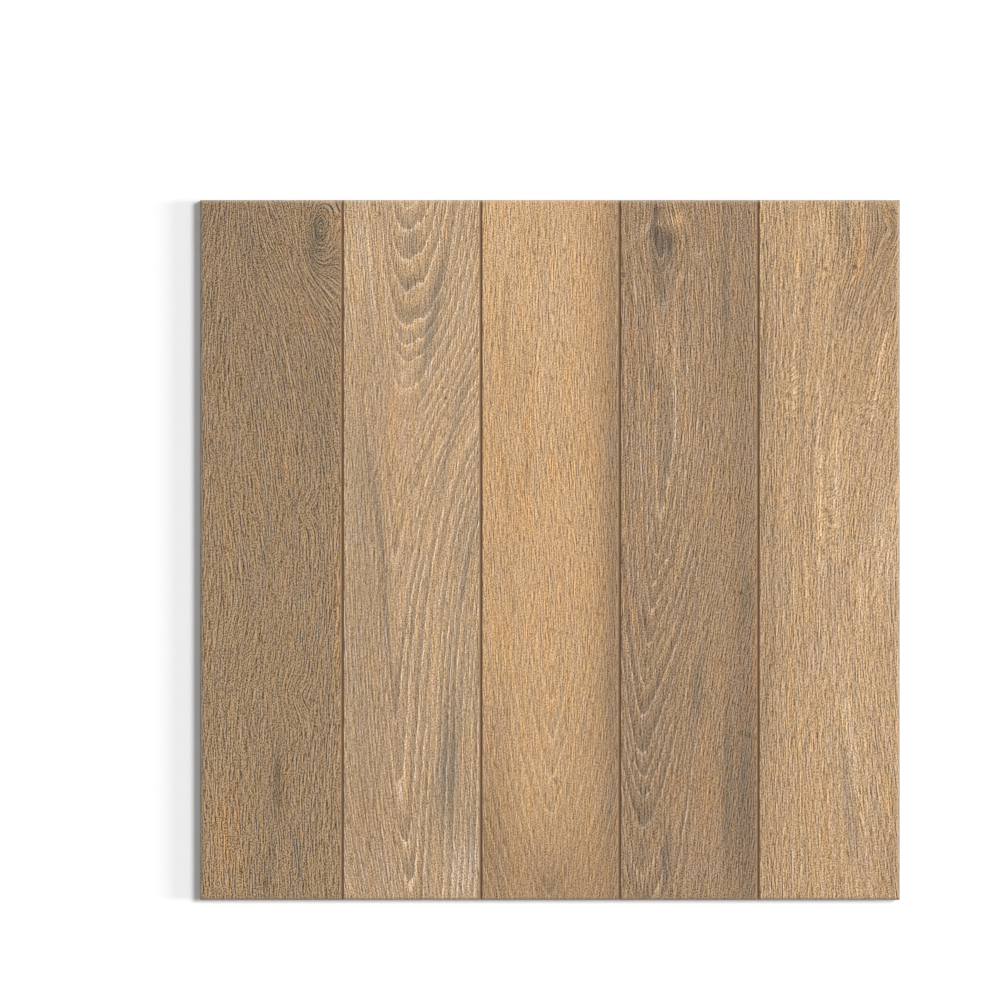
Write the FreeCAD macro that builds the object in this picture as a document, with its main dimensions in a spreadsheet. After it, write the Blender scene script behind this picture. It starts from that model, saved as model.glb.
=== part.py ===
import FreeCAD, Part
import math
import os
import Sketcher

# A pressed porcelain floor tile with a wood look: one stoneware slab that reads as five boards
# laid side by side, with four sunk joints between them.
# Frame: origin under the middle of the tile, on the floor. +X across the boards, +Y along them,
# +Z up through the wear face. All lengths in millimetres, angles in degrees.

V = FreeCAD.Vector
doc = FreeCAD.newDocument("WoodLookTile")

# Driving sizes

driving_sizes = [
    ("tile_width", 600.0, "across the boards, the nominal 60 cm square format"),
    ("tile_length", 600.0, "along the boards"),
    ("tile_thickness", 9.0, "wear face down to the feet of the ribs"),
    ("corner_radius", 1.0, "the four upright corners in plan"),
    ("cushion_width", 3.0, "rolled edge of the face, measured in from the side"),
    ("cushion_drop", 1.5, "rolled edge of the face, measured down the side"),
    ("back_arris", 0.8, "bevel round the underside"),
    ("joint_count", 4, "sunk joints between the boards"),
    ("board_pitch", 118.8, "from joint to joint"),
    ("joint_width", 2.6, "hollow of a joint, edge to edge at the wear face"),
    ("joint_depth", 0.9, "hollow of a joint, below the wear face at its middle"),
    ("lip_width", 0.3, "sloping lip on each side of a joint, beyond the hollow's edge"),
    ("lip_slope", 22.0, "fall of the lips towards the middle of the joint"),
    ("key_pitch", 48.0, "from rib to rib on the underside"),
    ("key_depth", 0.6, "height of the ribs that key into the adhesive"),
    ("key_draft", 30.0, "lean of the rib sides, so that the press lets go"),
    ("rib_width", 4.0, "flat foot of each rib"),
    ("border_least", 10.0, "narrowest flat border round the underside"),
]
sheet = doc.addObject("Spreadsheet::Sheet", "Sizes")
for row, (alias, value, meaning) in enumerate(driving_sizes, 1):
    sheet.set("A%d" % row, meaning)
    sheet.set("B%d" % row, str(value))
    sheet.setAlias("B%d" % row, alias)
doc.recompute()


class Size:
    """A size that carries its value and its formula in the sheet through the same sums."""

    def __init__(self, value, formula):
        self.value = value
        self.formula = formula

    def pair(self, sign, other, result):
        return Size(result, "(%s %s %s)" % (self.formula, sign, formula_of(other)))

    def __add__(self, other):
        return self.pair("+", other, self.value + value_of(other))

    def __sub__(self, other):
        return self.pair("-", other, self.value - value_of(other))

    def __mul__(self, other):
        return self.pair("*", other, self.value * value_of(other))

    def __truediv__(self, other):
        return self.pair("/", other, self.value / value_of(other))

    def __neg__(self):
        return self * -1


def value_of(item):
    return item.value if isinstance(item, Size) else item


def formula_of(item):
    return item.formula if isinstance(item, Size) else str(item)


def size(alias):
    """One driving size, by its name in the sheet."""
    return Size(float(sheet.get(alias)), "Sizes." + alias)


def whole(item):
    """A size rounded down to a whole number."""
    return Size(math.floor(item.value), "floor(%s)" % item.formula)


def tangent_of(angle):
    """The tangent of a size in degrees."""
    return Size(math.tan(math.radians(angle.value)), "tan(%s)" % angle.formula)


def chord_radius(run, drop):
    """Radius of an arc that starts level and falls by the drop over the run."""
    return (run * run + drop * drop) / (drop * 2)


half_width = size("tile_width") / 2
half_length = size("tile_length") / 2
ground, face = Size(0, "0"), size("tile_thickness")
cushion, fall = size("cushion_width"), size("cushion_drop")
roll_radius = chord_radius(cushion, fall)

# The body and its sketching helpers

body = doc.addObject("PartDesign::Body", "PlankTile")
body.Label = "plank_tile"
origin = {feature.Role: feature for feature in body.Origin.OriginFeatures}
ZERO = (-1, 1)


def start(line):
    return line, 1


def end(line):
    return line, 2


def centre(arc):
    return arc, 3


def new_sketch(name, plane):
    """A sketch of the body, on one of its origin planes."""
    sketch = body.newObject("Sketcher::SketchObject", name)
    sketch.AttachmentSupport = [(origin[plane], "")]
    sketch.MapMode = "FlatFace"
    return sketch


def relate(sketch, kind, *items):
    """Add a geometric relation to a sketch."""
    sketch.addConstraint(Sketcher.Constraint(kind, *items))


def drive(sketch, kind, items, item_size):
    """Add a dimension to a sketch and bind it to the sheet."""
    index = sketch.addConstraint(Sketcher.Constraint(kind, *items, item_size.value))
    sketch.setExpression("Constraints[%d]" % index, item_size.formula)


def place(sketch, point, x, y):
    """Fix a point of a sketch by its sizes from the origin."""
    drive(sketch, "DistanceX", (*ZERO, *point), x)
    drive(sketch, "DistanceY", (*ZERO, *point), y)


def add_arc(sketch, x, y, radius, first, last):
    """Draw an arc about a centre, counter-clockwise between two angles."""
    circle = Part.Circle(V(x.value, y.value, 0), V(0, 0, 1), radius.value)
    return sketch.addGeometry(Part.ArcOfCircle(circle, math.radians(first), math.radians(last)))


def close_with_lines(sketch, begin, corners, finish):
    """Straight lines from one point of a sketch through placed corners to another point."""
    before = begin
    for x, y in corners:
        line = sketch.addGeometry(Part.LineSegment(sketch.getPoint(*before), V(x.value, y.value, 0)))
        relate(sketch, "Coincident", *before, *start(line))
        place(sketch, end(line), x, y)
        before = end(line)
    line = sketch.addGeometry(Part.LineSegment(sketch.getPoint(*before), sketch.getPoint(*finish)))
    relate(sketch, "Coincident", *before, *start(line))
    relate(sketch, "Coincident", *end(line), *finish)


def polygon(sketch, corners):
    """A closed loop of straight lines through placed corners."""
    (x, y), (next_x, next_y) = corners[:2]
    first = sketch.addGeometry(Part.LineSegment(V(x.value, y.value, 0), V(next_x.value, next_y.value, 0)))
    place(sketch, start(first), x, y)
    place(sketch, end(first), next_x, next_y)
    close_with_lines(sketch, end(first), corners[2:], start(first))


def cut_through(name, sketch):
    """Take a section away right through the slab, both ways from its plane."""
    pocket = body.newObject("PartDesign::Pocket", name)
    pocket.Profile = sketch
    pocket.Type = "ThroughAll"
    pocket.SideType = "Symmetric"
    doc.recompute()
    return pocket


def in_a_row(name, originals, axis, pitch, count):
    """Repeat features along an axis of the body."""
    row = body.newObject("PartDesign::LinearPattern", name)
    row.Originals = originals
    row.Direction = (origin[axis], [""])
    row.setExpression("Length", (pitch * (count - 1)).formula)
    row.setExpression("Occurrences", count.formula)
    body.Tip = row
    doc.recompute()
    return row


# Slab: a square with barely rounded corners

outline = new_sketch("Outline", "XY_Plane")
corner_radius = size("corner_radius")
inner_x, inner_y = half_width - corner_radius, half_length - corner_radius
corners = [add_arc(outline, inner_x, inner_y, corner_radius, 0, 90),
           add_arc(outline, -inner_x, inner_y, corner_radius, 90, 180),
           add_arc(outline, -inner_x, -inner_y, corner_radius, 180, 270),
           add_arc(outline, inner_x, -inner_y, corner_radius, 270, 360)]
straights = []
for corner, following in zip(corners, corners[1:] + corners[:1]):
    straight = outline.addGeometry(Part.LineSegment(outline.getPoint(*end(corner)),
                                                    outline.getPoint(*start(following))))
    relate(outline, "Tangent", *end(corner), *start(straight))
    relate(outline, "Tangent", *end(straight), *start(following))
    straights.append(straight)
far_end, left_side, near_end, right_side = straights
for straight in (far_end, near_end):
    relate(outline, "Horizontal", straight)
for straight in (left_side, right_side):
    relate(outline, "Vertical", straight)
for corner in corners[1:]:
    relate(outline, "Equal", corners[0], corner)
relate(outline, "Symmetric", *start(far_end), *start(near_end), *ZERO)
drive(outline, "DistanceX", (*start(left_side), *start(right_side)), half_width * 2)
drive(outline, "DistanceY", (*start(near_end), *start(far_end)), half_length * 2)
drive(outline, "Radius", (corners[0],), corner_radius)

slab = body.newObject("PartDesign::Pad", "Slab")
slab.Profile = outline
slab.setExpression("Length", face.formula)
doc.recompute()


# Rolled edge on top and arris below, one pair of opposite sides at a time, mitred at the corners

def edge_section(name, plane, half):
    """What comes off two opposite sides, past the rolled edge and past the arris."""
    sketch = new_sketch(name, plane)
    arris = size("back_arris")
    level = math.degrees(math.asin(1 - fall.value / roll_radius.value))
    for out, first, last, wall_end, face_end in ((1, level, 90, start, end),
                                                 (-1, 90, 180 - level, end, start)):
        wall, inner, clear = half * out, (half - cushion) * out, (half + fall) * out
        roll = add_arc(sketch, inner, face - roll_radius, roll_radius, first, last)
        place(sketch, wall_end(roll), wall, face - fall)
        place(sketch, face_end(roll), inner, face)
        relate(sketch, "Vertical", *face_end(roll), *centre(roll))
        close_with_lines(sketch, wall_end(roll),
                         [(clear, face - fall), (clear, face + fall), (inner, face + fall)],
                         face_end(roll))
        polygon(sketch, [((half - arris * 2) * out, -arris),
                         ((half + arris) * out, -arris),
                         ((half + arris) * out, arris * 2)])
    return sketch


sides = cut_through("RolledSides", edge_section("SideSection", "XZ_Plane", half_width))
ends = cut_through("RolledEnds", edge_section("EndSection", "YZ_Plane", half_length))

# Sunk joints: sloping lips, and a round-bottomed hollow that rolls down with both ends

joint_count = size("joint_count")
board_pitch = size("board_pitch")
joint_half, joint_depth = size("joint_width") / 2, size("joint_depth")
first_joint = -(board_pitch * (joint_count - 1) / 2)
hollow_radius = chord_radius(joint_half, joint_depth)
clear_top = face + joint_half

lip_reach = joint_half + size("lip_width")
lip_section = new_sketch("LipSection", "XZ_Plane")
polygon(lip_section, [(first_joint, face - lip_reach * tangent_of(size("lip_slope"))),
                      (first_joint + lip_reach, face),
                      (first_joint + lip_reach, clear_top),
                      (first_joint - lip_reach, clear_top),
                      (first_joint - lip_reach, face)])
lips = cut_through("Lips", lip_section)

hollow_section = new_sketch("HollowSection", "XZ_Plane")
spread = math.degrees(math.asin(joint_half.value / hollow_radius.value))
hollow = add_arc(hollow_section, first_joint, face - joint_depth + hollow_radius, hollow_radius,
                 270 - spread, 270 + spread)
place(hollow_section, start(hollow), first_joint - joint_half, face)
place(hollow_section, end(hollow), first_joint + joint_half, face)
drive(hollow_section, "Radius", (hollow,), hollow_radius)
close_with_lines(hollow_section, start(hollow),
                 [(first_joint - joint_half, clear_top), (first_joint + joint_half, clear_top)],
                 end(hollow))

hollow_path = new_sketch("HollowPath", "YZ_Plane")
level_end = half_length - cushion
past_wall = half_length + (roll_radius - cushion) / 2
turn = math.degrees(math.asin((past_wall.value - level_end.value) / roll_radius.value))
near_roll = add_arc(hollow_path, -level_end, face - roll_radius, roll_radius, 90, 90 + turn)
level_run = hollow_path.addGeometry(Part.LineSegment(V(-level_end.value, face.value, 0),
                                                     V(level_end.value, face.value, 0)))
far_roll = add_arc(hollow_path, level_end, face - roll_radius, roll_radius, 90 - turn, 90)
place(hollow_path, start(level_run), -level_end, face)
place(hollow_path, end(level_run), level_end, face)
relate(hollow_path, "Tangent", *start(near_roll), *start(level_run))
relate(hollow_path, "Tangent", *end(level_run), *end(far_roll))
for roll, tip in ((near_roll, (*end(near_roll), *ZERO)), (far_roll, (*ZERO, *start(far_roll)))):
    drive(hollow_path, "Radius", (roll,), roll_radius)
    drive(hollow_path, "DistanceX", tip, past_wall)

joint = body.newObject("PartDesign::SubtractivePipe", "Joint")
joint.Profile = hollow_section
joint.Spine = (hollow_path, ["Edge1", "Edge2", "Edge3"])
joint.Mode = "Fixed"
doc.recompute()
joints = in_a_row("Joints", [lips, joint], "X_Axis", board_pitch, joint_count)

# Underside: a sunk field inside a flat border, and ribs across it both ways

key_pitch, key_depth, rib_width = size("key_pitch"), size("key_depth"), size("rib_width")
draft = size("key_draft")


def cell_count(half):
    """How many cells fit along a side between its borders."""
    return whole((half * 2 - size("border_least") * 2 + rib_width) / key_pitch)


cells_across, cells_along = cell_count(half_width), cell_count(half_length)
field_x = (key_pitch * cells_across - rib_width) / 2
field_y = (key_pitch * cells_along - rib_width) / 2

field_plan = new_sketch("FieldPlan", "XY_Plane")
polygon(field_plan, [(-field_x, -field_y), (field_x, -field_y), (field_x, field_y), (-field_x, field_y)])
field = body.newObject("PartDesign::Pocket", "Field")
field.Profile = field_plan
field.Reversed = True
field.setExpression("Length", key_depth.formula)
field.setExpression("TaperAngle", (-draft).formula)
doc.recompute()


def ribs(name, plane, axis, cells, run):
    """One drafted rib from border to border, sunk into the slab as deep as it stands, and its row."""
    middle = -(key_pitch * (cells - 2) / 2)
    foot = rib_width / 2
    root = foot + key_depth * 2 * tangent_of(draft)
    section = new_sketch(name + "Section", plane)
    polygon(section, [(middle - foot, ground), (middle + foot, ground),
                      (middle + root, key_depth * 2), (middle - root, key_depth * 2)])
    rib = body.newObject("PartDesign::Pad", name)
    rib.Profile = section
    rib.SideType = "Symmetric"
    rib.setExpression("Length", ((run + rib_width) * 2).formula)
    doc.recompute()
    return rib, in_a_row(name + "Row", [rib], axis, key_pitch, cells - 1)


rib_along, ribs_along = ribs("RibAlong", "XZ_Plane", "X_Axis", cells_across, field_y)
rib_across, ribs_across = ribs("RibAcross", "YZ_Plane", "Y_Axis", cells_along, field_x)

# Checks on the finished model, then the file

for item in doc.Objects:
    if "Invalid" in item.State or "Error" in item.State:
        raise RuntimeError("%s did not build: %s" % (item.Name, item.State))

history = [slab, sides, ends, lips, joint, joints, field, rib_along, ribs_along, rib_across, ribs_across]
for before, feature in zip(history, history[1:]):
    change = feature.Shape.Volume - before.Shape.Volume
    adds = feature in (rib_along, ribs_along, rib_across, ribs_across)
    if change == 0 or (change > 0) != adds:
        raise RuntimeError("%s changed the volume by %.3f mm3" % (feature.Name, change))
    print("%-13s %+.1f mm3" % (feature.Name, change))

tile = body.Shape
if tile.isNull() or not tile.isValid() or len(tile.Solids) != 1:
    raise RuntimeError("the tile is not one sound solid")

os.makedirs("parts", exist_ok=True)
tile.exportStep("parts/%s.step" % body.Label)
print("%s: %.1f mm3, %.2f kg of stoneware" % (body.Label, tile.Volume, tile.Volume * 2.3e-6))
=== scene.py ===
import math

import bpy
import numpy as np
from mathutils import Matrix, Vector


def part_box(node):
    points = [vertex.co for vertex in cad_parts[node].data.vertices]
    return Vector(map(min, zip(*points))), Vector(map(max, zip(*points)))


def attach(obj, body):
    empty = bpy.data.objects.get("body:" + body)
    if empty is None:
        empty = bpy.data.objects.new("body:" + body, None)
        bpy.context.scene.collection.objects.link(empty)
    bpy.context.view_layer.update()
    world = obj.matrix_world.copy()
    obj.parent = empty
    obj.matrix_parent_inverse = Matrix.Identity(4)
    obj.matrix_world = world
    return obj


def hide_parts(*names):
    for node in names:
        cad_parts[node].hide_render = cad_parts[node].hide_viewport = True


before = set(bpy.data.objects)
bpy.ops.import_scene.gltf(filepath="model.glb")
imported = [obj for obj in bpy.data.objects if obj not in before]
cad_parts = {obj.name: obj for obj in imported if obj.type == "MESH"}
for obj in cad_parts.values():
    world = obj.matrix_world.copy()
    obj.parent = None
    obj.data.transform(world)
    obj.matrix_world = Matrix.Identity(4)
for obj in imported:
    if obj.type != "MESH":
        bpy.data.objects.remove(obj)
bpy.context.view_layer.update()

# Sizes of the tile in millimetres: its outline and thickness come from the imported tile, the rest is as the
# solid has it
MM = 0.001
PER_METRE = 1000.0
high_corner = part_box("plank_tile")[1]
HALF = round(high_corner[0] / MM, 2)
THICK = round(high_corner[2] / MM, 2)
CORNER = 1.0
ROLL_WIDE = 3.0
ROLL_DROP = 1.5
ROLL_RADIUS = (ROLL_WIDE ** 2 + ROLL_DROP ** 2) / (2 * ROLL_DROP)
ARRIS = 0.8
BOARD_PITCH = 118.8
JOINTS = BOARD_PITCH * np.array([-1.5, -0.5, 0.5, 1.5])
HOLLOW_HALF = 1.3
HOLLOW_DEEP = 0.9
HOLLOW_RADIUS = (HOLLOW_HALF ** 2 + HOLLOW_DEEP ** 2) / (2 * HOLLOW_DEEP)
LIP_REACH = 1.6
LIP_SLOPE = math.tan(math.radians(22.0))
RIBS = 48.0 * np.arange(-5, 6)
RIB_HALF = 2.0
KEY_DEEP = 0.6
KEY_RUN = KEY_DEEP * math.tan(math.radians(30.0))
KEY_FIELD = 286.0

# Grid of the face: how deep its embossed relief goes, and how finely it is divided
RELIEF = 0.07
RELIEF_FROM_JOINT = (2.0, 5.0)
RELIEF_FROM_EDGE = (3.0, 6.0)
JOINT_CLEAR = 2.2
COLUMNS_IN_BOARD = 75
ROWS_IN_FACE = 207


def linear(red, green, blue):
    """A colour given as it looks, 0 to 255, turned into the light it stands for."""
    share = np.array([red, green, blue], float) / 255.0
    return np.where(share <= 0.04045, share / 12.92, ((share + 0.055) / 1.055) ** 2.4)


# Curves and hills that the grain is drawn with. across is measured from the left edge of the face,
# and down from its far edge, both in millimetres.

def course(down, *points):
    """A smooth line through (down, value) points: a cubic in each gap, with slopes from the neighbours."""
    at = np.array([p[0] for p in points], float)
    value = np.array([p[1] for p in points], float)
    slope = np.gradient(value, at)
    d = np.clip(np.asarray(down, float), at[0], at[-1])
    i = np.clip(np.searchsorted(at, d, side="right") - 1, 0, len(at) - 2)
    gap = at[i + 1] - at[i]
    t = (d - at[i]) / gap
    return ((2 * t ** 3 - 3 * t ** 2 + 1) * value[i] + (t ** 3 - 2 * t ** 2 + t) * gap * slope[i]
            + (3 * t ** 2 - 2 * t ** 3) * value[i + 1] + (t ** 3 - t ** 2) * gap * slope[i + 1])


def ease(value, low, high):
    """A smooth step from 0 at low to 1 at high."""
    t = np.clip((value - low) / (high - low), 0.0, 1.0)
    return t * t * (3 - 2 * t)


def arm(offset, soft, left=1.0, right=1.0):
    """Distance from an axis, rounded off within soft, and steeper on one side by its factor."""
    side = np.where(offset < 0, left, right)
    return side * (np.sqrt(offset * offset + soft * soft) - soft)


def hill(across, down, at, wide, tall):
    """A hill of elliptical plan that is 1 at its middle."""
    return np.exp(-((across - at[0]) / wide) ** 2 - ((down - at[1]) / tall) ** 2)


def mottle(a, b, seed):
    """Smooth random heights from -1 to 1 on a lattice of one unit, blended between its points."""
    period = 257
    table = np.random.default_rng(seed).uniform(-1.0, 1.0, (period, period))
    i, j = np.floor(a).astype(int), np.floor(b).astype(int)
    u, w = a - i, b - j
    u, w = u * u * (3 - 2 * u), w * w * (3 - 2 * w)
    i, j, k, m = i % period, j % period, (i + 1) % period, (j + 1) % period
    return ((table[i, j] * (1 - u) + table[k, j] * u) * (1 - w)
            + (table[i, m] * (1 - u) + table[k, m] * u) * w)


# Each board has two numbers at every place. Equal ring numbers are the lines of its figure, which close
# into vees and go round knots. Equal thread numbers are its fibres, which lean far less. In the figures
# a is across and d is down.

def lean_to_axis(off, fall):
    """Threads that draw in to the axis a third as fast as the rings do."""
    return off + 0.3 * fall * np.tanh(off / 40)


def figure_one(a, d):
    """Straight lines that part from a peak at the far left and bend round a knot at the far right."""
    pull = course(d, (0, 50), (30, 39), (60, 27), (90, 14), (120, 6), (160, 0), (600, 0))
    part = course(d, (0, 16), (30, 10), (60, 4), (110, 0), (600, 0))
    lines = a + 2.0 * np.sin(d / 58.0) + pull * ease(a, 22, 56) - part * (1 - ease(a, 6, 30))
    lines = lines + 34 * hill(a, d, (101, 28), 12, 27) + 9 * hill(a, d, (103, 52), 18, 46)
    lines = lines + 8 * hill(a, d, (92, 266), 9, 13) + 10 * hill(a, d, (81, 424), 12, 18)
    lines = lines + 6 * hill(a, d, (68, 506), 9, 30) - 7 * hill(a, d, (44, 340), 26, 60)
    return lines, lines


def figure_two(a, d):
    """Rounded vees down the axis, that stand close together beside it and sweep up to the right edge."""
    axis = course(d, (0, 179), (60, 178), (110, 178), (150, 177), (220, 171),
                  (300, 167), (400, 166), (508, 171), (600, 182))
    inner = course(d, (0, 0), (60, 28), (110, 52), (180, 82), (250, 108),
                   (320, 128), (400, 143), (500, 162), (600, 186))
    right = course(d, (0, 0), (60, 16), (110, 38), (180, 76), (250, 103),
                   (320, 114), (400, 127), (500, 147), (600, 182))
    dense = course(d, (0, 1.5), (150, 1.5), (300, 2.0), (600, 2.0))
    flat = course(d, (0, 9), (130, 9), (220, 2), (600, 2))
    off = a - axis
    beyond = np.maximum(np.abs(off) - flat, 0.0)
    rise = np.sqrt(beyond ** 2 + 25) - 5
    arms = 0.05 * np.minimum(np.abs(off), flat) ** 2 + np.where(off > 0, dense, 4.0) * rise
    outer = np.where(off > 0, right - inner, 0.0) * (1 - np.exp(-(off / 24) ** 2))
    knot = 5 * hill(a, d, (180, 241), 5, 8)
    return arms + inner + outer + 6.6 - knot, lean_to_axis(off, 0.6 * inner) + knot


def figure_three(a, d):
    """Straight rings at the far end that close into slender tongues at the near end."""
    axis = course(d, (0, 292), (200, 293), (350, 301), (600, 299))
    fall = course(d, (0, 0), (300, 2), (380, 8), (450, 22), (520, 44), (600, 76))
    return arm(a - axis, 5, 1.3, 1.4) + fall, lean_to_axis(a - axis, fall)


def figure_four(a, d):
    """Rings that part round a knot at the far end and close into vees at the near end."""
    axis = course(d, (0, 391), (100, 397), (240, 396), (340, 388), (420, 381), (600, 379))
    fall = course(d, (0, 0), (110, 0), (240, 6), (330, 24), (420, 54), (510, 86), (600, 118))
    off = a - axis
    knots = 20 * hill(a, d, (396, 34), 17, 30) + 7 * hill(a, d, (413, 50), 9, 14)
    knots = knots + 5 * hill(a, d, (398, 91), 5, 8) + 4 * hill(a, d, (404, 308), 6, 9)
    bowed = off * (1 - 0.75 * hill(a, d, (395, 36), 17, 26) - 0.4 * hill(a, d, (398, 91), 7, 9))
    upright = 0.035 * np.maximum(off - 20, 0.0) ** 2
    blunt = course(d, (0, 5), (440, 5), (540, 10), (600, 14))
    return arm(off, blunt, 1.7, 1.1) + upright + fall - knots, lean_to_axis(bowed, fall)


def figure_five(a, d):
    """Straight lines on the left, and on the right a long bow that opens at both ends."""
    bow = course(d, (0, 60), (60, 56), (94, 46), (148, 32), (220, 14),
                 (300, 0), (400, 3), (480, 14), (540, 22), (600, 30))
    lines = a - 0.8 * bow * ease(a, 500, 596)
    lines = lines - 12 * hill(a, d, (600, 24), 14, 22) - 4 * hill(a, d, (591, 87), 6, 8)
    return lines, a + (lines - a) * 0.8


# Tones of the print. Wide soft patches change the ground to one of four tones. Stains are streaky and
# follow the pores, and each goes into one of five channels that the finish reads.

SAND = linear(206, 172, 134)
CREAM = linear(222, 190, 152)
AMBER = linear(196, 148, 96)
BROWN = linear(132, 104, 78)
CHANNELS = 5
GREY, WARM, DARK, PALE, RIPPLE = range(CHANNELS)

# Each board, from left to right, has its ground tone, the number that its chances start from, how strong
# its fibres show, and its rings with the distance between them. bold says how bold their lines and bands
# are at the far and the near end, and between which two places down the board that changes. calm is a
# mark where they fade: (across, down, half width, half length, strength). A patch is (across, down, half
# width, half length, tone, strength). Stains are marks too, and one that leans has its lean last.

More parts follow.
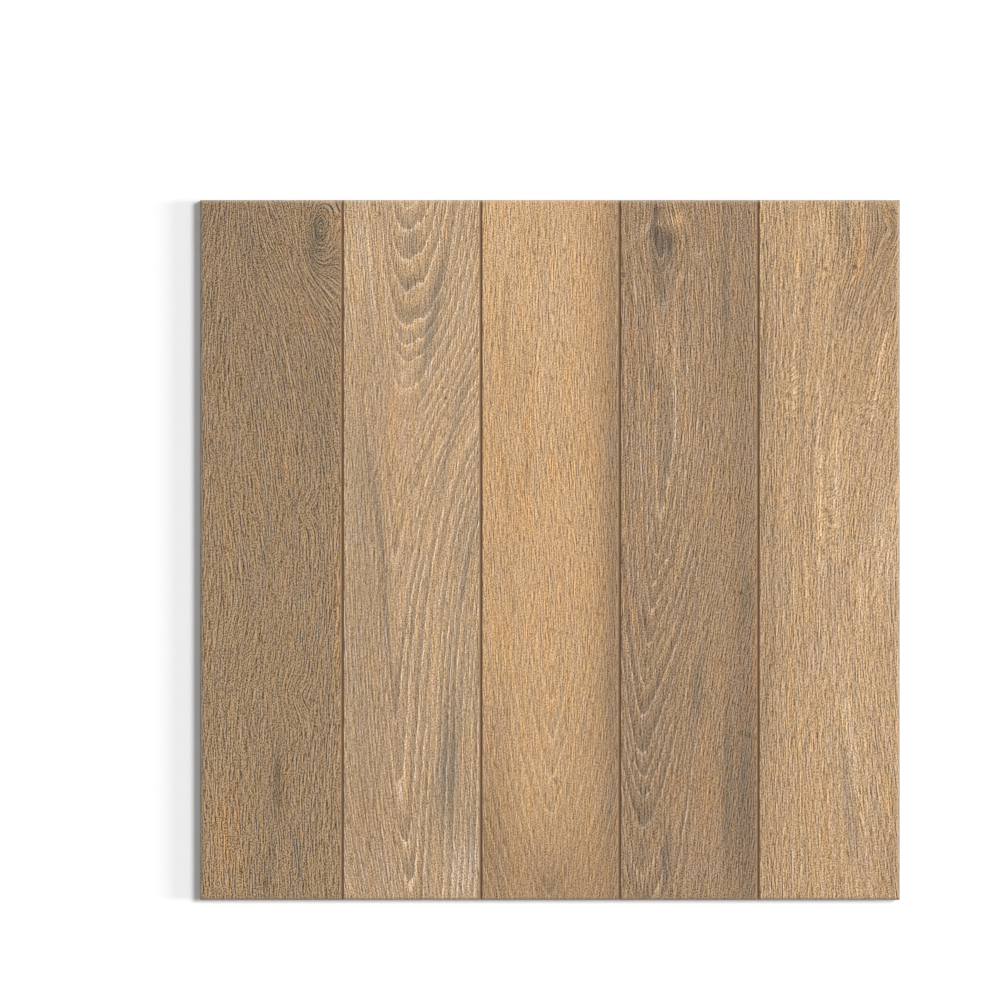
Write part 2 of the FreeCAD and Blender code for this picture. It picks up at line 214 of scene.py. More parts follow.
BOARDS = (
    dict(ground=linear(153, 125, 92), seed=3, contrast=1.55,
         figure=figure_one, spacing=4.0, bold=(0.6, 0.3, 90, 180),
         patches=(
             (20, 560, 16, 70, AMBER, 0.22), (14, 60, 10, 80, BROWN, 0.2),
             (118, 300, 3, 260, AMBER, 0.25), (50, 110, 44, 110, BROWN, 0.16),
             (18, 8, 26, 22, BROWN, 0.2), (66, 506, 16, 50, BROWN, 0.15)),
         stains={
             GREY: ((100, 30, 7, 22, 1.3), (101, 50, 9, 18, 0.5), (40, 36, 10, 30, 0.5, 0.4),
                    (104, 180, 13, 50, 0.4), (56, 302, 3, 12, 0.6), (81, 258, 8, 9, 0.4),
                    (67, 508, 6, 22, 1.0), (83, 562, 3, 24, 0.9, 0.15), (62, 558, 3, 12, 0.7),
                    (59, 580, 5, 18, 0.6)),
             WARM: ((72, 37, 4, 12, 0.9), (91, 98, 3, 16, 0.8, 0.6), (74, 229, 3, 14, 0.5),
                    (71, 324, 3, 9, 0.5), (73, 497, 2, 10, 0.9), (22, 548, 3, 38, 0.5),
                    (33, 528, 3, 18, 0.5), (72, 575, 3, 18, 0.6)),
             DARK: ((101, 24, 5, 14, 0.5), (66, 486, 2.5, 12, 1.0), (55, 586, 3, 4, 1.0))}),
    dict(ground=linear(197, 163, 125), seed=11, contrast=0.87,
         figure=figure_two, spacing=10.0, bold=(0.8, 1.05, 140, 320), calm=(173, 215, 14, 78, 0.85),
         patches=(
             (180, 125, 9, 14, SAND, 0.5), (175, 152, 8, 9, CREAM, 0.6), (150, 300, 22, 260, BROWN, 0.2),
             (198, 440, 8, 60, SAND, 0.4), (225, 575, 14, 26, CREAM, 0.6), (172, 380, 9, 100, SAND, 0.2),
             (137, 40, 10, 50, CREAM, 0.3), (222, 90, 8, 40, CREAM, 0.2), (140, 520, 16, 80, BROWN, 0.2),
             (168, 430, 6, 80, BROWN, 0.2), (190, 540, 50, 110, BROWN, 0.12)),
         stains={
             GREY: ((182, 34, 5, 12, 1.2), (178, 74, 9, 8, 1.1), (179, 96, 8, 5, 0.9),
                    (200, 100, 5, 52, 1.5, -0.18), (221, 180, 4, 32, 0.9, -0.24),
                    (152, 270, 2.2, 60, 1.5, 0.14), (159, 350, 2.4, 44, 1.1, 0.1),
                    (140, 240, 10, 80, 0.3), (229, 304, 8, 50, 0.8, -0.1), (208, 242, 4, 28, 0.8, -0.15),
                    (213, 480, 9, 66, 1.7, -0.06), (135, 400, 12, 150, 0.3), (231, 540, 6, 40, 0.7)),
             WARM: ((153, 50, 3, 40, 0.5), (166, 178, 3, 34, 0.7)),
             DARK: ((180, 241, 3, 5, 0.5),),
             PALE: ((147, 70, 2, 50, 1.1, 0.06), (159, 84, 2, 40, 1.2, 0.08), (195, 146, 3, 8, 1.2))}),
    dict(ground=linear(204, 164, 119), seed=23, contrast=0.8,
         figure=figure_three, spacing=9.0, bold=(0.1, 0.45, 330, 460),
         patches=(
             (355, 300, 18, 460, BROWN, 0.5), (262, 40, 18, 60, CREAM, 0.25),
             (300, 80, 18, 130, SAND, 0.55), (250, 540, 18, 100, BROWN, 0.5),
             (300, 590, 60, 60, BROWN, 0.5), (305, 490, 10, 60, SAND, 0.3),
             (338, 500, 34, 120, BROWN, 0.16), (258, 300, 12, 140, BROWN, 0.1)),
         stains={
             GREY: ((354, 300, 6, 440, 0.7), (300, 585, 10, 16, 0.5)),
             DARK: ((287, 45, 1.4, 3, 1.2), (273, 46, 1.4, 2, 1.0), (263, 72, 1.6, 7, 1.0),
                    (261, 115, 1.6, 34, 0.7), (280, 146, 1.6, 22, 0.7), (280, 232, 1.6, 22, 0.7),
                    (263, 247, 1.6, 16, 0.7), (269, 348, 1.2, 8, 1.0))}),
    dict(ground=linear(167, 135, 101), seed=37, contrast=1.12,
         figure=figure_four, spacing=8.0, bold=(0.75, 0.98, 200, 330), calm=(462, 400, 26, 300, 0.8),
         patches=(
             (410, 190, 20, 90, SAND, 0.25), (384, 230, 14, 60, SAND, 0.12),
             (468, 510, 16, 130, BROWN, 0.4), (412, 16, 7, 6, AMBER, 0.4),
             (432, 497, 5, 44, AMBER, 0.22), (366, 70, 8, 50, BROWN, 0.2)),
         stains={
             GREY: ((397, 37, 9, 14, 1.5, 0.3), (392, 66, 4, 22, 1.2, 0.2), (400, 70, 10, 26, 0.5),
                    (450, 72, 3, 80, 1.2), (388, 151, 5, 14, 0.9), (398, 178, 6, 26, 0.9),
                    (400, 225, 5, 14, 0.9), (426, 417, 4, 26, 1.2, -0.1), (468, 343, 7, 22, 0.9),
                    (400, 565, 5, 28, 1.2), (377, 566, 6, 12, 0.9), (377, 521, 6, 10, 0.8),
                    (452, 510, 4, 84, 1.4), (466, 200, 10, 300, 0.5), (468, 520, 10, 130, 0.9),
                    (381, 480, 18, 110, 0.4)),
             WARM: ((370, 94, 1.4, 34, 1.0), (429, 137, 2, 14, 0.8), (389, 167, 2, 10, 0.7),
                    (417, 184, 3, 20, 0.6), (389, 231, 2, 8, 0.8), (368, 346, 6, 16, 0.6, 0.3),
                    (432, 497, 4, 42, 0.4), (443, 403, 4, 14, 0.6), (405, 504, 4, 12, 0.6),
                    (475.5, 415, 1.3, 90, 1.2)),
             DARK: ((391, 30, 4, 14, 1.4, 0.1), (402, 34, 4, 9, 0.9), (391, 8, 3, 9, 1.2),
                    (381, 361, 3, 7, 0.8)),
             PALE: ((391, 37, 2.2, 3, 3.0), (386, 20, 2, 8, 1.6, -0.5), (374, 32, 2, 14, 1.3, -0.8),
                    (373, 84, 1.6, 36, 1.2), (398, 91, 2.8, 5, 3.0), (410, 16, 5, 5, 1.4),
                    (413, 66, 7, 2.4, 1.4), (426, 46, 7, 2.4, 1.2), (396, 122, 3, 3, 0.9),
                    (400, 240, 3, 5, 0.9), (397, 263, 4, 2, 1.0))}),
    dict(ground=linear(192, 157, 117), seed=53, contrast=1.05,
         figure=figure_five, spacing=6.0, bold=(0.45, 0.35, 0, 600),
         patches=(
             (590, 20, 14, 30, BROWN, 0.35), (578, 70, 20, 60, BROWN, 0.3),
             (588, 290, 12, 44, CREAM, 0.6), (545, 240, 14, 60, CREAM, 0.2),
             (560, 440, 30, 140, SAND, 0.5), (592, 575, 12, 40, BROWN, 0.25),
             (520, 60, 14, 60, SAND, 0.15), (584, 131, 5, 42, SAND, 0.4),
             (484, 440, 12, 240, BROWN, 0.2)),
         stains={
             GREY: ((555, 32, 4, 34, 1.1, 0.05), (556, 90, 8, 14, 0.7), (594, 24, 4, 6, 0.8),
                    (488, 300, 8, 300, 0.3), (555, 500, 5, 46, 0.8, 0.13), (561, 550, 5, 24, 0.5, 0.1)),
             WARM: ((564, 46, 2.5, 22, 0.8, -0.14), (584, 131, 4, 42, 0.3, -0.32),
                    (523, 519, 2.5, 26, 0.7), (537, 530, 2.5, 32, 0.7)),
             DARK: ((485, 95, 1.1, 50, 0.9, -0.08), (482, 150, 1.1, 34, 0.9, -0.05),
                    (490, 118, 1.0, 20, 0.8, -0.1), (484, 262, 1.1, 26, 0.9, -0.14),
                    (492, 280, 1.0, 16, 0.8, -0.14), (488, 402, 1.0, 26, 0.7, -0.1)),
             PALE: ((586, 124, 1.6, 34, 1.0, -0.34), (578, 175, 1.4, 40, 0.8, -0.2),
                    (531, 250, 1.8, 90, 1.7, 0.01), (546, 250, 1.6, 60, 1.5, 0.01),
                    (509, 170, 1.8, 14, 1.1), (567, 330, 1.8, 50, 1.0), (558, 470, 1.8, 60, 1.1, 0.12),
                    (512, 60, 2, 50, 0.8, -0.05)),
             RIPPLE: ((508, 160, 10, 30, 1.2), (572, 182, 20, 20, 1.0), (540, 266, 8, 36, 1.3),
                      (584, 300, 8, 60, 0.6))}),
)


def tile_lines():
    """Places of the grid's columns and rows: close together on rolled edges and joints, even between."""
    edge = HALF - np.array([0.0, 0.5, CORNER, 1.5, 2.2, ROLL_WIDE])
    beside = np.array([JOINT_CLEAR, LIP_REACH, HOLLOW_HALF, 0.85, 0.43])
    joint = np.concatenate([-beside, [0.0], beside[::-1]])
    stops = np.concatenate([[-HALF + ROLL_WIDE], JOINTS, [HALF - ROLL_WIDE]])
    columns = [-edge]
    for left, right in zip(stops[:-1], stops[1:]):
        start = left + (JOINT_CLEAR if left in JOINTS else 0.0)
        end = right - (JOINT_CLEAR if right in JOINTS else 0.0)
        columns.append(np.linspace(start, end, COLUMNS_IN_BOARD + 2)[1:-1])
        if right in JOINTS:
            columns.append(right + joint)
    columns.append(edge[::-1])
    level = np.linspace(-HALF + ROLL_WIDE, HALF - ROLL_WIDE, ROWS_IN_FACE + 2)[1:-1]
    return np.concatenate(columns), np.concatenate([-edge, level, edge[::-1]])


def round_corner(x, y):
    """Draws the last millimetre of each corner in to a quarter circle, keeping its rings square to it."""
    start = HALF - CORNER
    a, b = np.maximum(np.abs(x) - start, 0.0), np.maximum(np.abs(y) - start, 0.0)
    both = (a > 0) & (b > 0)
    pull = np.where(both, np.maximum(a, b) / np.maximum(np.hypot(a, b), 1e-9), 1.0)
    return (np.where(both, np.sign(x) * (start + a * pull), x),
            np.where(both, np.sign(y) * (start + b * pull), y))


def roll_height(place):
    """Height of a rolled edge: the face, less a circular arc over the last few millimetres."""
    out = np.clip(np.abs(place) - (HALF - ROLL_WIDE), 0.0, ROLL_WIDE)
    return THICK - (ROLL_RADIUS - np.sqrt(ROLL_RADIUS ** 2 - out ** 2))


def face_height(x, y):
    """The lowest of the two rolled edges, the sloping lips and the round hollow of the nearest joint."""
    off = np.abs(x[..., None] - JOINTS).min(-1)
    roll = roll_height(y)
    lip = np.where(off < LIP_REACH, THICK - (LIP_REACH - off) * LIP_SLOPE, THICK)
    round_in = np.minimum(off, HOLLOW_HALF)
    hollow = roll - HOLLOW_DEEP + HOLLOW_RADIUS - np.sqrt(HOLLOW_RADIUS ** 2 - round_in ** 2)
    height = np.minimum(np.minimum(roll_height(x), roll), lip)
    return np.where(off < HOLLOW_HALF + 1e-6, np.minimum(height, hollow), height)


def back_height(x, y):
    """The keyed back: square pockets with sloping sides between ribs, and a flat border."""
    def pocket(t):
        """How deep a pocket is at t, from 0 on a rib or the border to 1 on its floor."""
        off = np.abs(t[..., None] - RIBS).min(-1) - RIB_HALF
        return np.clip(np.minimum(off, KEY_FIELD - np.abs(t)) / KEY_RUN, 0.0, 1.0)
    return KEY_DEEP * np.minimum(pocket(x), pocket(y))


def back_lines():
    """Places of the underside's grid lines: both feet and both roots of every rib, and the border."""
    steps = np.array([-RIB_HALF - KEY_RUN, -RIB_HALF, RIB_HALF, RIB_HALF + KEY_RUN])
    inner = (RIBS[:, None] + steps).ravel()
    flat = HALF - ARRIS
    border = np.array([flat, flat - 0.1, flat - 0.2, KEY_FIELD, KEY_FIELD - KEY_RUN])
    return np.concatenate([-border, inner, border[::-1]])


def grid_faces(rows, columns, first, upward):
    """Four-cornered faces between neighbouring points of a grid, wound to look up or down."""
    i = first + np.arange(rows * columns).reshape(rows, columns)
    corners = [i[:-1, :-1], i[:-1, 1:], i[1:, 1:], i[1:, :-1]]
    if not upward:
        corners = corners[::-1]
    return np.stack([c.ravel() for c in corners], -1)


def rim(rows, columns, first):
    """The points round the outside of a grid, counter-clockwise seen from above, from its first corner."""
    i = first + np.arange(rows * columns).reshape(rows, columns)
    return np.concatenate([i[0, :-1], i[:-1, -1], i[-1, :0:-1], i[:0:-1, 0]])


def rim_place(columns, rows):
    """How far round the outside each rim point lies, one unit to a side."""
    across = (columns + HALF) / (2 * HALF)
    along = (rows + HALF) / (2 * HALF)
    return np.concatenate([across[:-1], 1 + along[:-1], 3 - across[:0:-1], 4 - along[:0:-1]])


def zip_rings(upper, upper_place, lower, lower_place):
    """Triangles between two closed rings of unlike counts, taking edges in the order of their middles."""
    middle_u = (upper_place + np.append(upper_place[1:], 4.0)) / 2
    middle_l = (lower_place + np.append(lower_place[1:], 4.0)) / 2
    next_u, next_l = np.roll(upper, -1), np.roll(lower, -1)
    beside_u = lower[np.searchsorted(middle_l, middle_u, side="left") % len(lower)]
    beside_l = upper[np.searchsorted(middle_u, middle_l, side="right") % len(upper)]
    return np.concatenate([np.stack([upper, beside_u, next_u], -1), np.stack([lower, next_l, beside_l], -1)])


def spread(values):
    """A place from the middle of the side stretched over its last fifth of a millimetre to the outline."""
    start = HALF - CORNER
    over = np.maximum(np.abs(values) - start, 0.0)
    return np.sign(values) * (np.minimum(np.abs(values), start) + over * CORNER / (CORNER - ARRIS))


def mark(a, d, at, place, wide, tall, strength, lean=0.0):
    """A soft mark of the print: a hill times its strength, whose long axis leans sideways as it goes down."""
    return strength * hill(a - lean * (d - place), d, (at, place), wide, tall)


def closeness(figure, a, d):
    """How close the threads run, as a power of two: the length of their number's slope over a millimetre."""
    sideways = figure(a + 0.5, d)[1] - figure(a - 0.5, d)[1]
    along = figure(a, d + 0.5)[1] - figure(a, d - 0.5)[1]
    return np.clip(np.log2(np.hypot(sideways, along) + 1e-3), -2.0, 2.0)


def printed_board(board, a, d):
    """All that is printed and embossed on one board, by name, at each of its places."""
    figure, seed = board["figure"], board["seed"]
    ring, thread = figure(a, d)
    far, near, start, end = board["bold"]
    calm = mark(a, d, *board["calm"]) if "calm" in board else 0.0
    tone = np.broadcast_to(board["ground"], a.shape + (3,)).copy()
    for at, place, wide, tall, colour, strength in board["patches"]:
        tone += mark(a, d, at, place, wide, tall, strength)[:, None] * (colour - tone)
    stain = np.zeros(a.shape + (CHANNELS,))
    for channel, marks in board["stains"].items():
        for spot in marks:
            stain[:, channel] += mark(a, d, *spot)
    streaks = mottle(thread / 5.0, d / 55.0, seed)
    swells = mottle(a / 7.0, d / 90.0, seed + 1)
    return dict(ring=ring, thread=thread, level=closeness(figure, a, d), seed=seed, ground=tone,
                stain=stain, spacing=board["spacing"], contrast=board["contrast"],
                bold=(far + (near - far) * ease(d, start, end)) * (1 - calm),
                relief=0.6 * streaks + 0.4 * swells)


def grain(x, y):
    """The print of the whole face, board by board, and its relief, which ends short of joints and edges."""
    across, down = x + HALF, HALF - y
    sides = np.concatenate([[0.0], JOINTS + HALF, [2 * HALF]])
    face = {}
    for board, left, right in zip(BOARDS, sides[:-1], sides[1:]):
        own = (across >= left) & (across <= right)
        for name, values in printed_board(board, across[own], down[own]).items():
            whole = face.setdefault(name, np.zeros(x.shape + np.shape(values)[1:]))
            whole[own] = values
    from_joint = np.abs(x[..., None] - JOINTS).min(-1)
    from_edge = HALF - np.maximum(np.abs(x), np.abs(y))
    face["relief"] *= np.minimum(ease(from_joint, *RELIEF_FROM_JOINT), ease(from_edge, *RELIEF_FROM_EDGE))
    return face


def build_tile():
    """The whole tile as one closed shell: face grid, back grid, and walls zipped between their rims."""
    columns, rows = tile_lines()
    grid_x, grid_y = np.meshgrid(columns, rows)
    printed = grain(grid_x, grid_y)
    relief, stain = printed["relief"], printed["stain"]
    x, y = round_corner(grid_x, grid_y)
    z = face_height(x, y) - RELIEF * (0.5 + 0.5 * np.clip(relief, -1, 1)) * (relief != 0)
    face = np.stack([x, y, z], -1).reshape(-1, 3)

    back = back_lines()
    grid_x, grid_y = np.meshgrid(back, back)
    back_x, back_y = round_corner(grid_x, grid_y)
    under = np.stack([back_x, back_y, back_height(back_x, back_y)], -1).reshape(-1, 3)
    wall_x, wall_y = round_corner(spread(grid_x), spread(grid_y))
    edge = rim(len(back), len(back), 0)
    foot = np.stack([wall_x.ravel()[edge], wall_y.ravel()[edge], np.full(len(edge), ARRIS)], -1)

    points = np.concatenate([face, under, foot])
    under_first, foot_first = len(face), len(face) + len(under)
    face_quads = grid_faces(len(rows), len(columns), 0, True)
    back_quads = grid_faces(len(back), len(back), under_first, False)
    foot_ring = foot_first + np.arange(len(edge))
    under_ring = under_first + edge
    wall = zip_rings(rim(len(rows), len(columns), 0), rim_place(columns, rows),
                     foot_ring, rim_place(spread(back), spread(back)))
    arris = np.stack([foot_ring, under_ring, np.roll(under_ring, -1), np.roll(foot_ring, -1)], -1)
    faces = face_quads.tolist() + back_quads.tolist() + arris.tolist() + wall.tolist()
    mesh = bpy.data.meshes.new("plank_tile_dressed")
    mesh.from_pydata(points * MM, [], faces)
    smooth = np.zeros(len(mesh.polygons), bool)
    smooth[:len(face_quads)] = True
    mesh.polygons.foreach_set("use_smooth", smooth)

    def keep(name, *numbers):
        """Stores three numbers for each point of the face, and zeros on the walls and the back."""
        full = np.zeros((len(points), 3), np.float32)
        full[:len(face)] = np.stack([number.ravel() for number in numbers], -1)
        mesh.attributes.new(name, "FLOAT_VECTOR", "POINT").data.foreach_set("vector", full.ravel())
    glaze = (z > THICK - ROLL_DROP + 0.1).astype(float)
    keep("figure", printed["ring"], printed["level"], printed["seed"])
    keep("weave", printed["thread"], glaze * printed["contrast"], stain[..., RIPPLE])
    keep("light", stain[..., PALE], printed["bold"], printed["spacing"])
    keep("stain", stain[..., GREY], stain[..., WARM], stain[..., DARK])
    keep("ground", *np.moveaxis(printed["ground"], -1, 0))
    lay_out(mesh, points, len(face_quads), len(back_quads))
    mesh.update()
    mesh.validate()
    tile = bpy.data.objects.new("dressed_tile", mesh)
    bpy.context.scene.collection.objects.link(tile)
    return tile


# The flat map of the shell. Its places and sizes are shares of the map's side.

MAP_EDGE = 0.004
FACE_SIDE = 0.84
BACK_SIDE = 0.14
BACK_LEFT = 0.852
WALLS_FROM = 0.86
WALL_PITCH = 0.034
WALL_HIGH = 0.026


def read_all(collection, field, kind):
    """One number of each item of a mesh's list, as an array."""
    values = np.zeros(len(collection), kind)
    collection.foreach_get(field, values)
    return values


def lay_out(mesh, points, face_count, back_count):
    """Maps the face to most of the square, the back to a corner, and the four walls to strips above."""
    corners = points[read_all(mesh.loops, "vertex_index", np.int32)]
    polygon = np.repeat(np.arange(len(mesh.polygons)), read_all(mesh.polygons, "loop_total", np.int32))
    normal = np.zeros(len(mesh.polygons) * 3, np.float32)
    mesh.polygons.foreach_get("normal", normal)
    normal = normal.reshape(-1, 3)[polygon]
    unit = (corners[:, :2] + HALF) / (2 * HALF)
    face = MAP_EDGE + FACE_SIDE * unit
    back = np.stack([BACK_LEFT + BACK_SIDE * unit[:, 0], MAP_EDGE + BACK_SIDE * unit[:, 1]], -1)
    side_x = np.abs(normal[:, 0]) > np.abs(normal[:, 1])
    strip = np.where(side_x, np.where(normal[:, 0] > 0, 0, 1), np.where(normal[:, 1] > 0, 2, 3))
    run = np.where(side_x, unit[:, 1], unit[:, 0])
    high = WALLS_FROM + WALL_PITCH * strip + WALL_HIGH * corners[:, 2] / THICK
    wall = np.stack([MAP_EDGE + FACE_SIDE * run, high], -1)
    on_face = (polygon < face_count)[:, None]
    on_back = (polygon < face_count + back_count)[:, None]
    uv = np.where(on_face, face, np.where(on_back, back, wall))
    mesh.uv_layers.new(name="OFBake").data.foreach_set("uv", uv.astype(np.float32).ravel())


# Shader sums written as ordinary expressions

class Value:
    """One output of a node. Adding, multiplying and so on make the Math node that does it."""

    def __init__(self, tree, socket):
        self.tree = tree
        self.socket = socket

    def math(self, operation, *others, clamp=False):
        """A Math node that works on this value and the others."""
        node = self.tree.nodes.new("ShaderNodeMath")
        node.operation = operation
        node.use_clamp = clamp
        for slot, item in zip(node.inputs, (self,) + others):
            plug(self.tree, slot, item)
        return Value(self.tree, node.outputs[0])

    def __add__(self, other):
        return self.math("ADD", other)

    def __radd__(self, other):
        return self.math("ADD", other)

    def __sub__(self, other):
        return self.math("SUBTRACT", other)

    def __rsub__(self, other):
        return (self * -1.0) + other

    def __mul__(self, other):
        return self.math("MULTIPLY", other)

    def __rmul__(self, other):
        return self.math("MULTIPLY", other)

    def __truediv__(self, other):
        return self.math("DIVIDE", other)

    def __abs__(self):
        return self.math("ABSOLUTE")

    def clamp(self):
        """The value held between 0 and 1."""
        return self.math("ADD", 0.0, clamp=True)

    def step(self, low, high):
        """A smooth step from 0 at low to 1 at high."""
        t = ((self - low) / (high - low)).clamp()
        return t * t * (3.0 - 2.0 * t)


def plug(tree, slot, item):
    """Links a value to a socket, or writes a plain number or vector into it."""
    if isinstance(item, Value):
        tree.links.new(item.socket, slot)
    else:
        slot.default_value = item


class Finish:
    """The nodes of a new material or sky, and short ways to add to them."""

    def __init__(self, owner):
        self.owner = owner
        owner.use_nodes = True
        self.tree = owner.node_tree
        self.tree.nodes.clear()

    def node(self, kind, settings=None, output=0, **values):
        """Adds a node of a kind: its settings first, then what goes into its sockets.

        A socket is called by its name, or as i and its number where several share a name.
        """
        made = self.tree.nodes.new("ShaderNode" + kind)
        for key, setting in (settings or {}).items():
            setattr(made, key, setting)
        for key, item in values.items():
            by_number = key[0] == "i" and key[1:].isdigit()
            slot = made.inputs[int(key[1:]) if by_number else key.replace("_", " ")]
            plug(self.tree, slot, item)
        return Value(self.tree, made.outputs[output]) if len(made.outputs) else None

    def vector(self, x, y, z):
        """Three numbers made a vector."""
        return self.node("CombineXYZ", X=x, Y=y, Z=z)

    def parts(self, vector):
        """The three numbers of a vector."""
        split = self.node("SeparateXYZ", Vector=vector).socket.node
        return [Value(self.tree, out) for out in split.outputs]

    def stored(self, name):
        """A vector that the mesh keeps for each of its points."""
        return self.node("Attribute", {"attribute_name": name}, output="Vector")

    def noise(self, x, y, z, detail=1.0, rough=0.5):
        """Smooth noise about one half, its grain one unit wide in each of the three numbers."""
        return self.node("TexNoise", {"noise_dimensions": "3D"}, Vector=self.vector(x, y, z), Scale=1.0,
                         Detail=detail, Roughness=rough)

    def mix(self, share, first, second):
        """A colour between two colours."""
        return self.node("Mix", {"data_type": "RGBA"}, output=2, i0=share, i6=first, i7=second)

    def tint(self, colour, factor):
        """A colour times another, or times a number."""
        return self.node("VectorMath", {"operation": "MULTIPLY"}, i0=colour, i1=factor)

    def layer(self, share, colour, factor):
        """A colour with a share of its tinted self laid over it."""
        return self.mix(share, colour, self.tint(colour, factor))

    def shown(self):
        """One on rays from the camera, also off gloss and through glass, and zero on the lighting's own."""
        camera, gloss, glass = (self.node("LightPath", output="Is %s Ray" % kind)
                                for kind in ("Camera", "Glossy", "Transmission"))
        return (camera + gloss + glass).clamp()


def rgba(colour):
    """A colour with its fourth number, for a colour socket."""
    return tuple(float(c) for c in colour) + (1.0,)


# The finish of the tile. Lengths in it are millimetres.

JOINT_PRINT = rgba(linear(122, 92, 62))
WORN_PRINT = rgba(linear(214, 198, 176))
CLAY = (0.38, 0.31, 0.24)
STAIN_TINTS = ((0.75, (0.50, 0.58, 0.70)), (0.75, (1.30, 0.98, 0.64)),
               (0.85, (0.32, 0.32, 0.34)), (0.80, (1.36, 1.44, 1.56)))


def ring_marks(f, x, y, ring, spacing, bold, seed, wander):
    """The dark bands and pale lines of the growth rings: a slow rise and a short dip in each ring's share.

    The ring number is scalloped by noise, and a ring is strong or faint by chance along its length.
    """
    scallop = f.noise(x / 4.5, y / 13.0, seed + 80.0, 1.0, 0.6) - 0.5
    ring = ring + wander * 5.0 + scallop * 3.6
    count = ring / spacing + f.noise(ring / (spacing * 2.6), y / 400.0, seed + 70.0, 0.0) * 1.8
    part = count.math("FRACT")
    strong = f.noise(count.math("FLOOR") * 0.73, y / 170.0, seed + 90.0).step(0.29, 0.51)
    band = part.step(0.20, 0.90) * strong * bold
    line = (1.0 - part.step(0.07, 0.22)) * strong * bold
    return band, line


def wood_print(f, x, y):
    """The printed and embossed wood: its colour, its height, its fine fibres, and where it is glazed."""
    ring, level, seed = f.parts(f.stored("figure"))
    thread, contrast, ripple = f.parts(f.stored("weave"))
    pale, bold, spacing = f.parts(f.stored("light"))
    grey, warm, dark = f.parts(f.stored("stain"))
    ground = f.stored("ground")
    glaze = (contrast * 4.0).clamp()
    ripple = ripple.clamp()
    wander = f.noise(x / 12.0, y / 60.0, seed + 60.0) - 0.5
    thread = thread + wander * 1.1
    along = y + x * 0.25
    band, line = ring_marks(f, x, y, ring, spacing, bold, seed, wander)

    def threads(wide, long, detail, shift, beside=0.0):
        """Noise drawn out along the fibres, at the fineness of three that suits how close they run here."""
        even = f.noise(thread / wide + beside, along / long, seed + shift, detail, 0.6)
        finer = f.noise(thread * 2.0 / wide + beside, along / long, seed + shift + 1.7, detail, 0.6)
        wider = f.noise(thread * 0.45 / wide + beside, along / long, seed + shift + 3.1, detail, 0.6)
        return even + (finer - even) * (level * -1.0).clamp() + (wider - even) * level.clamp() - 0.5

    fine = threads(0.85, 13.0, 0.0, 0.0)
    middle = threads(1.5, 60.0, 1.0, 20.0)
    broad = f.noise(thread / 4.5, y / 90.0, seed + 40.0, 2.0, 0.6) - 0.5
    pores = threads(1.05, 12.0, 0.0, 50.0) - threads(1.05, 12.0, 0.0, 50.0, 0.9)
    grit = f.noise(x * 0.76 + y * 0.53, y * 0.76 - x * 0.53, seed + 30.0, 0.0) - 0.5
    ticks = f.noise((x * 0.8 - y) / 1.7, (x + y * 0.8) / 7.0, seed + 110.0, 0.0) - 0.5

    # Bands, broad warm and ashen streaks, and the stains, broken up along the fibres
    patchy = (fine * 2.0 + middle * 3.0 + 0.75).clamp()
    wood = f.layer(band * 0.78, ground, (0.58, 0.62, 0.68))
    wood = f.layer((broad * 3.0).clamp(), wood, (1.08, 1.00, 0.84))
    wood = f.layer((broad * -3.0).clamp(), wood, (0.84, 0.85, 0.86))
    for stain, (share, factor) in zip((grey, warm, dark, pale), STAIN_TINTS):
        wood = f.layer((stain * patchy).clamp() * share, wood, factor)

    # Fibres: dark flecks count for more than light ones, and the mean stays level
    shade = pores * (0.83 - ripple * 0.4) + fine * 0.25 + middle * 0.36
    shade = (shade + grit * 1.4 + ticks * ripple * 0.8) * contrast
    shade = shade - shade * shade * 0.75 + contrast * contrast * 0.026
    hue = f.noise(thread / 6.0, y / 60.0, seed + 100.0, 0.0) - 0.5
    red = 0.97 + shade * 0.84 + hue * 0.03
    green = 0.97 + shade
    blue = 0.97 + shade * 1.26 - hue * 0.15
    wood = f.tint(wood, f.vector(red * red, green * green, blue * blue))

    # Short dark dashes where the wood is broad-streaked, and the pale lines over all
    dashes = f.noise(thread / 0.95, along / 8.0, seed + 130.0, 0.0).step(0.63, 0.74)
    wood = f.tint(wood, 1.0 - dashes * (0.35 + broad * 1.2).clamp())
    wood = f.layer(line * 0.9, wood, (1.36, 1.50, 1.75))
    height = pores * 0.3 + ticks * ripple * 0.3 + fine * 0.4 + middle * 0.8 + line * 0.05
    return wood, height, fine, glaze


def edge_print_and_painted_shade(f, x, y, wood):
    """The wood with the brown of the joints, with its rims paler all round, and with painted shade that
    darkens the right and the near rim.
    """
    from_joint = abs(abs(abs(x) - BOARD_PITCH) - BOARD_PITCH / 2)
    wood = f.mix(1.0 - from_joint.step(1.25, 1.75), wood, JOINT_PRINT)
    from_edge = HALF - abs(x).math("MAXIMUM", abs(y))
    wood = f.mix((1.0 - from_edge.step(0.6, 3.4)) * 0.3, wood, WORN_PRINT)
    # Painted shade: the colour of the right and the near rim is darkened towards the outline, standing in for
    # shade on those two rims.
    right = x.step(HALF - 3.2, HALF - 0.4)
    near = (y * -1.0).step(HALF - 3.2, HALF - 0.4)
    return f.tint(wood, (1.0 - right * 0.53) * (1.0 - near * 0.43))


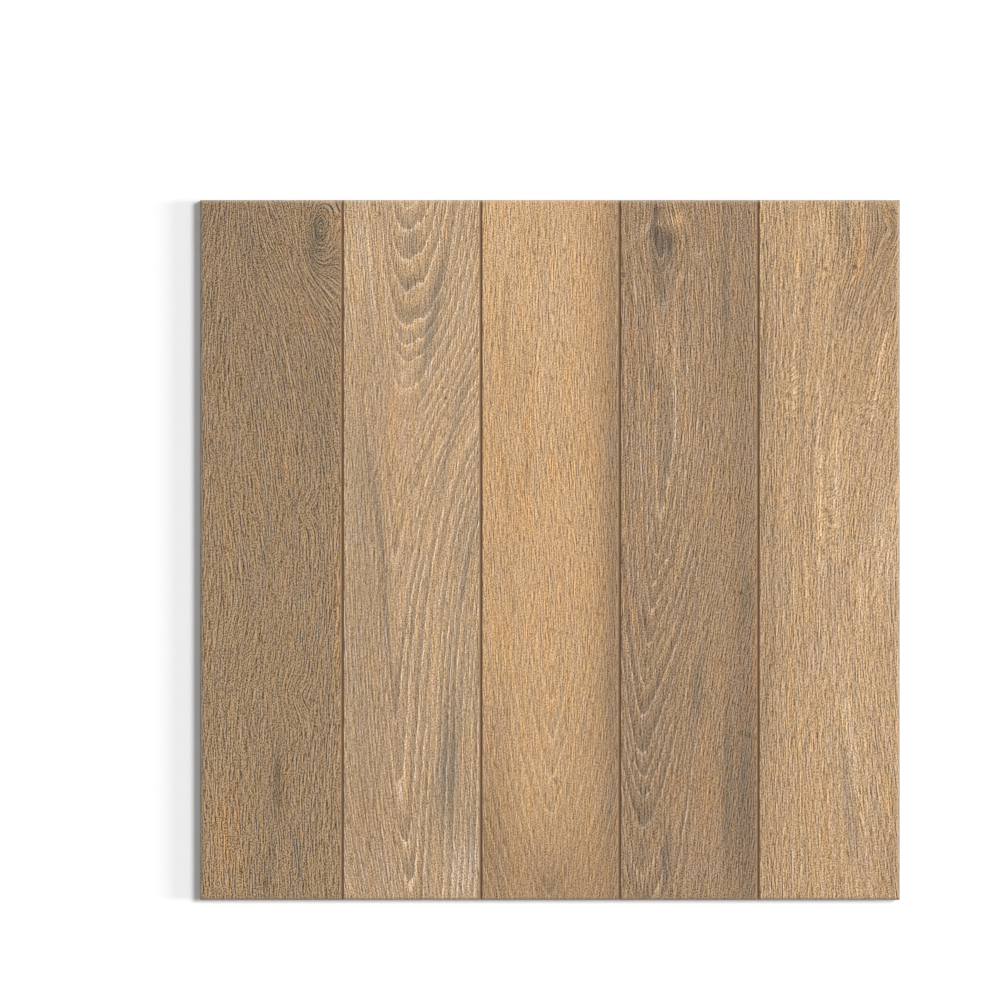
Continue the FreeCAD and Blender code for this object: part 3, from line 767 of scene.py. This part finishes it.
def tile_finish():
    """Printed wood under a dull glaze on the face, with painted shade on its right and near rims, and bare
    fired clay on the walls and the back.
    """
    f = Finish(bpy.data.materials.new("wood_look_glaze"))
    x, y, z = (part * PER_METRE for part in f.parts(f.node("TexCoord", output="Object")))
    wood, height, fine, glaze = wood_print(f, x, y)
    speck = f.noise(x / 2.2, y / 2.2, z / 2.2, 3.0, 0.6) - 0.5
    cloud = f.noise(x / 60.0, y / 60.0, z / 30.0, 2.0) - 0.5
    clay = f.tint(CLAY, 1.0 + speck * 0.5 + cloud * 0.35)
    colour = f.mix(glaze, clay, edge_print_and_painted_shade(f, x, y, wood))
    height = height * glaze + speck * 0.12 * (1.0 - glaze)
    rough = 0.56 + fine * 0.3 + (1.0 - glaze) * 0.3
    shader = f.node("BsdfPrincipled", Base_Color=colour, Roughness=rough.clamp(), Specular_IOR_Level=0.35,
                    Normal=f.node("Bump", Strength=0.2, Distance=0.0006, Height=height))
    f.node("OutputMaterial", Surface=shader)
    return f.owner


def floor_finish():
    """A white studio floor that stays white to the camera and keeps the tile's shadow."""
    f = Finish(bpy.data.materials.new("studio_floor"))
    shader = f.node("BsdfPrincipled", Base_Color=(0.95, 0.95, 0.95, 1.0), Roughness=1.0,
                    Specular_IOR_Level=0.0, Emission_Color=f.shown(), Emission_Strength=0.07)
    f.node("OutputMaterial", Surface=shader)
    return f.owner


# The studio. The photograph is square, and the face fills it between two of its columns and rows.

PICTURE_SIDE = 1000.0
FACE_FROM = 200.0
FACE_TO = 900.0
FLOOR_HALF = 6.0
SKY_LIGHT = 0.27


def studio_floor():
    """A wide level square that the tile lies on."""
    corners = [(-FLOOR_HALF, -FLOOR_HALF, 0), (FLOOR_HALF, -FLOOR_HALF, 0),
               (FLOOR_HALF, FLOOR_HALF, 0), (-FLOOR_HALF, FLOOR_HALF, 0)]
    mesh = bpy.data.meshes.new("floor")
    mesh.from_pydata(corners, [], [(0, 1, 2, 3)])
    mesh.materials.append(floor_finish())
    floor = bpy.data.objects.new("floor", mesh)
    bpy.context.scene.collection.objects.link(floor)


def sun(name, share, wide, toward, height):
    """A lamp with even light from one side, which gives a level face its share whatever the lamp's height.

    wide is the lamp's own width, toward its bearing and height its height above the floor, in degrees.
    """
    lamp = bpy.data.lights.new(name, "SUN")
    lamp.energy = share * math.pi / math.sin(math.radians(height))
    lamp.angle = math.radians(wide)
    holder = bpy.data.objects.new(name, lamp)
    holder.rotation_euler = (0.0, math.radians(90.0 - height), math.radians(toward))
    bpy.context.scene.collection.objects.link(holder)


def sky():
    """Even light from all round, and white where the camera sees it."""
    f = Finish(bpy.data.worlds.new("sky"))
    background = f.node("Background", Color=(1.0, 1.0, 1.0, 1.0),
                        Strength=SKY_LIGHT + f.shown() * (1.0 - SKY_LIGHT))
    f.node("OutputWorld", Surface=background)
    bpy.context.scene.world = f.owner


def overhead_camera():
    """A long lens that looks straight down, and puts the face where the photograph has it."""
    camera = bpy.data.cameras.new("camera")
    camera.lens = 200.0
    camera.sensor_width = 36.0
    picture_wide = 2 * HALF * MM * PICTURE_SIDE / (FACE_TO - FACE_FROM)
    aside = picture_wide * ((FACE_FROM + FACE_TO) / PICTURE_SIDE - 1.0) / 2
    above = THICK * MM + picture_wide * camera.lens / camera.sensor_width
    holder = bpy.data.objects.new("camera", camera)
    holder.location = (-aside, aside, above)
    bpy.context.scene.collection.objects.link(holder)
    bpy.context.scene.camera = holder


tile = build_tile()
tile.data.materials.append(tile_finish())
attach(tile, "root")
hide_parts("plank_tile")

studio_floor()
sun("key", 0.55, 22, 20, 46)
sun("rake", 0.20, 14, 0, 14)
sky()
overhead_camera()
bpy.context.scene.view_settings.view_transform = "Standard"
